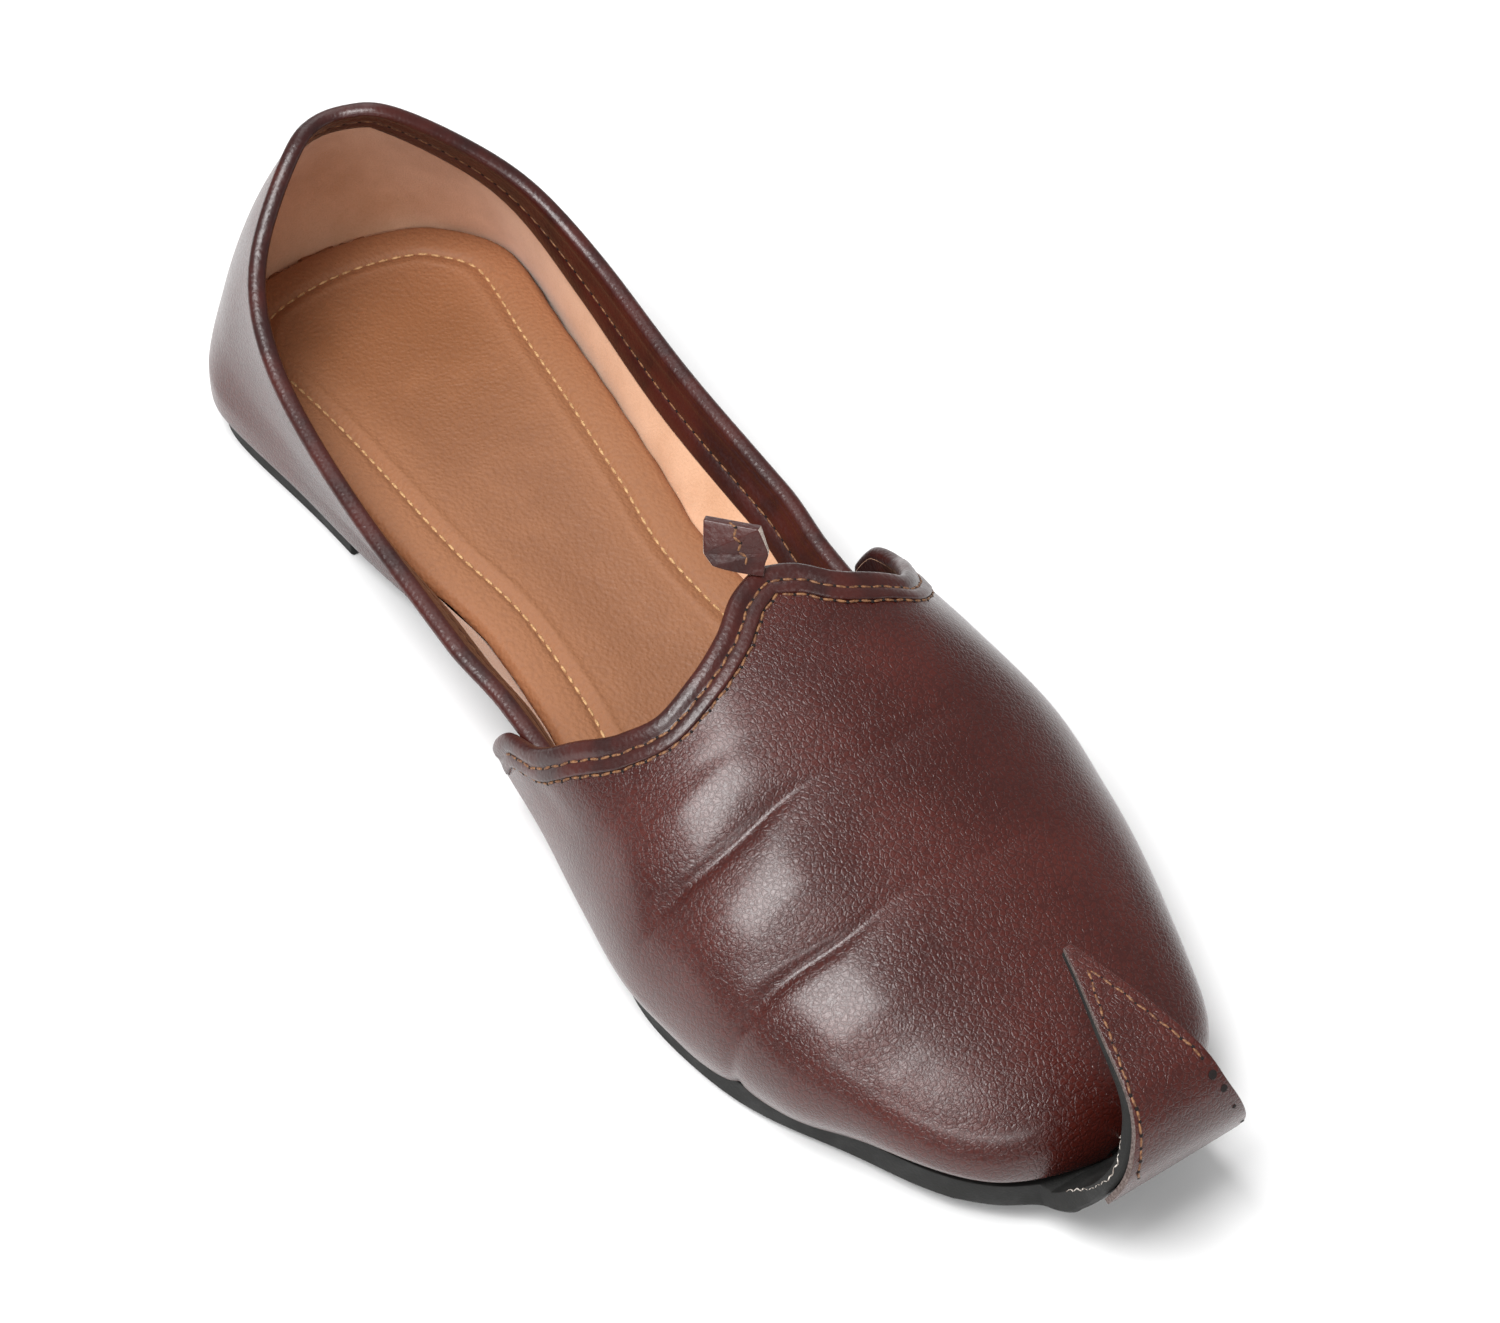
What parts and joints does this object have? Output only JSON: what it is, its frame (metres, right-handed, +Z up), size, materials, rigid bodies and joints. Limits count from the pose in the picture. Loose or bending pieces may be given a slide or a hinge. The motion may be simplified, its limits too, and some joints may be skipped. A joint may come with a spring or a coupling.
{
  "type": "mojari",
  "caption": "Low leather slip-on shoe for the right foot, with a pointed throat, rolled edges, padded insole, low heel and a flat sole that curls up over the toe as a nose.",
  "frame": {"origin": "middle of the footprint, on the floor", "axes": "+X from heel to toe, +Y to the inner side of the foot, +Z up"},
  "size_m": [0.2832, 0.094, 0.066],
  "materials": {
    "upper": "glossy, pebble grained",
    "outsole": "matt",
    "heel": "matt",
    "insole": "soft matt",
    "binding": "satin",
    "tab": "satin",
    "strap": "glossy, pebble grained"
  },
  "bodies": {
    "root": {"upper": "upper", "outsole": "outsole", "heel": "heel", "insole": "insole", "topline_binding": "binding", "throat_binding": "binding", "throat_tab": "tab", "toe_strap": "strap"}
  },
  "joints": []
}
